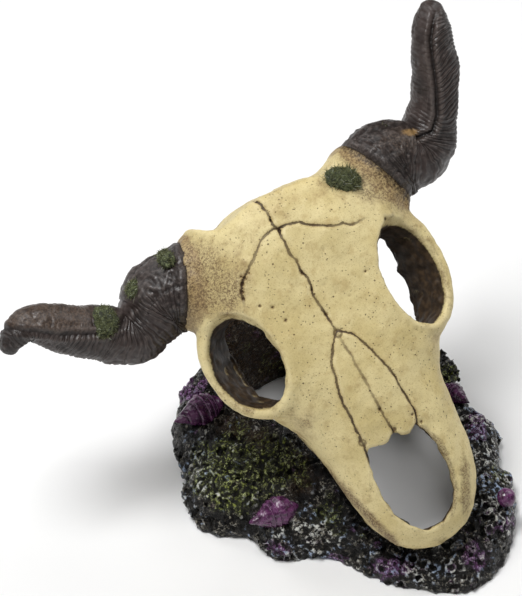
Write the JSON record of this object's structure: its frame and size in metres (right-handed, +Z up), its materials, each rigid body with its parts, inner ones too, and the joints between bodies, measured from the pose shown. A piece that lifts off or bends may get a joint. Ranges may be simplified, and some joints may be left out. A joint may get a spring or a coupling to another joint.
{
  "type": "bubbling ornament",
  "caption": "Aquarium ornament: hollow horned steer skull in cast resin, leaning on a ring of coral rubble with sea shells and moss, hiding an air stone fed by a swivelling barbed inlet.",
  "frame": {"origin": "middle of the overall box as seen from above, at the level of the flat underside, which is the plane z = 0", "axes": "+Z up, -Y the way the skull's muzzle points, +X the side of the raised horn; the air inlet leaves the back, towards +Y"},
  "size_m": [0.1707, 0.1454, 0.1629],
  "materials": {
    "bone_resin": "painted cream polyresin, satin",
    "horn_resin": "painted dark brown polyresin, satin",
    "rubble_resin": "painted black-green polyresin, glossy in places",
    "purple_resin": "painted purple polyresin, gloss",
    "moss": "flocked green fibre",
    "steel": "plain",
    "rubber": "matt",
    "black_plastic": "moulded",
    "clear_tube": "clear soft vinyl",
    "grit": "bonded mineral grit, porous"
  },
  "bodies": {
    "ornament": {"skull_shell": "bone_resin", "rock_base": "rubble_resin", "horn_left": "horn_resin", "horn_right": "horn_resin", "shell_left": "purple_resin", "shell_front": "purple_resin", "shell_right": "purple_resin", "sea_snail": "purple_resin", "moss_crown": "moss", "moss_left_root": "moss", "moss_left_elbow": "moss", "moss_left_mid": "moss", "moss_right_root": "moss", "horn_dowel_left": "steel", "horn_dowel_right": "steel", "inlet_grommet": "rubber", "inner_air_tube": "clear_tube", "stone_clip": "black_plastic"},
    "elbow": {"airline_elbow": "black_plastic"},
    "stone": {"air_stone": "grit", "air_stone_stem": "black_plastic"}
  },
  "joints": [
    {"name": "inlet_swivel", "type": "hinge", "parent": "ornament", "child": "elbow", "pos_m": [0.04604, 0.06938, 0.011], "axis": [0, 1, 0], "range_deg": [-90, 90]},
    {"name": "stone_pull", "type": "slide", "parent": "ornament", "child": "stone", "axis": [0, -1, 0], "range_m": [0, 0.014]}
  ]
}
